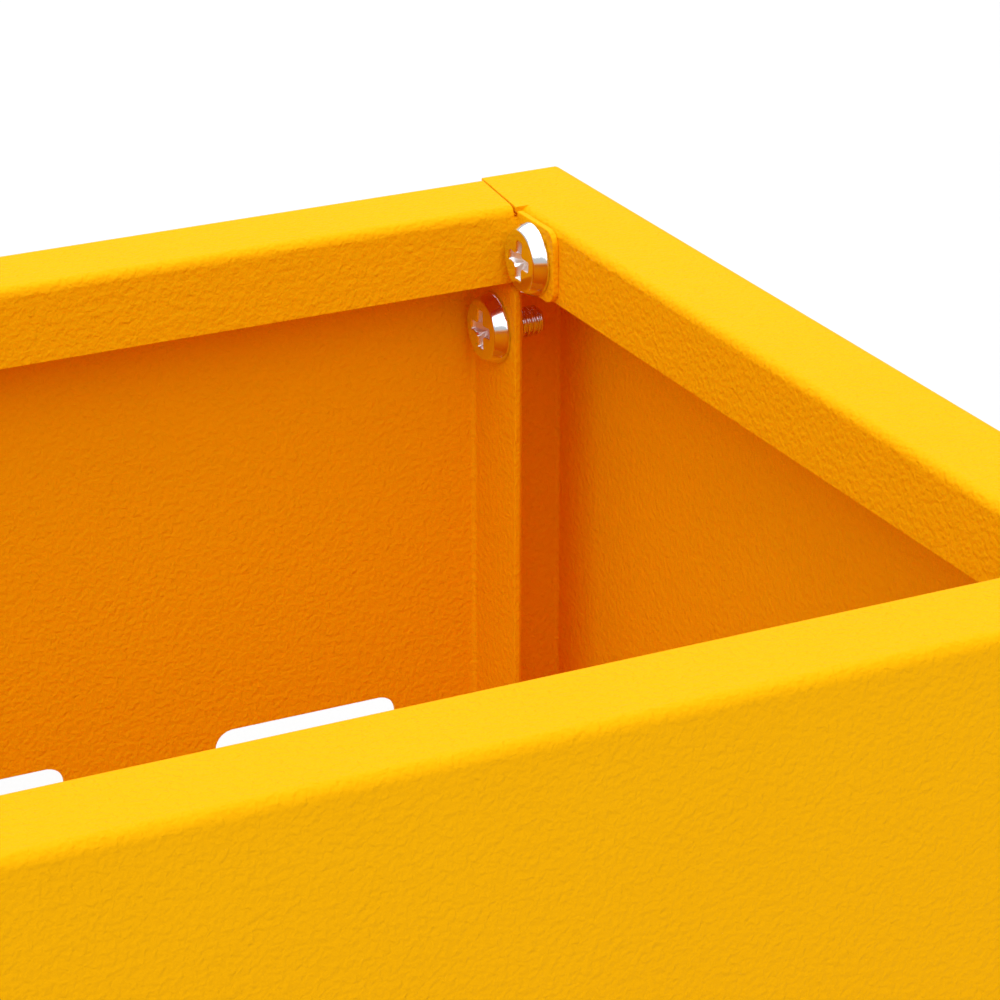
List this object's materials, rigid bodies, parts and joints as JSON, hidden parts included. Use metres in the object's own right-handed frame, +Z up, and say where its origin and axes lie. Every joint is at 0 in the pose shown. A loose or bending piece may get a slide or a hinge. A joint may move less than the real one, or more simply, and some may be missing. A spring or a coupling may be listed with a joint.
{
  "type": "mailbox",
  "caption": "Open-top rectangular sheet-steel mailbox with folded rims, a slotted rear wall, hollow corner columns and screwed corner joints.",
  "frame": {"origin": "centre of the footprint, on the plane that the feet stand on", "axes": "+X along the long walls, +Y from the plain front wall to the slotted rear wall, +Z up out of the open top"},
  "size_m": [0.358, 0.147, 0.33],
  "materials": {
    "yellow_coat": "satin textured powder coat",
    "zinc_screw": "bright zinc plate",
    "foot_rubber": "matt"
  },
  "bodies": {
    "root": {"front_panel": "yellow_coat", "rear_panel": "yellow_coat", "left_end_panel": "yellow_coat", "right_end_panel": "yellow_coat", "floor_tray": "yellow_coat", "rim_screw_front_left": "zinc_screw", "rim_screw_front_right": "zinc_screw", "rim_screw_rear_left": "zinc_screw", "rim_screw_rear_right": "zinc_screw", "column_screw_top_front_left": "zinc_screw", "column_screw_top_front_right": "zinc_screw", "column_screw_top_rear_left": "zinc_screw", "column_screw_top_rear_right": "zinc_screw", "column_screw_middle_front_left": "zinc_screw", "column_screw_middle_front_right": "zinc_screw", "column_screw_middle_rear_left": "zinc_screw", "column_screw_middle_rear_right": "zinc_screw", "column_screw_bottom_front_left": "zinc_screw", "column_screw_bottom_front_right": "zinc_screw", "column_screw_bottom_rear_left": "zinc_screw", "column_screw_bottom_rear_right": "zinc_screw", "floor_screw_front_left": "zinc_screw", "floor_screw_front_right": "zinc_screw", "floor_screw_rear_left": "zinc_screw", "floor_screw_rear_right": "zinc_screw", "floor_screw_end_left": "zinc_screw", "floor_screw_end_right": "zinc_screw", "foot_front_left": "foot_rubber", "foot_front_right": "foot_rubber", "foot_rear_left": "foot_rubber", "foot_rear_right": "foot_rubber"}
  },
  "joints": []
}
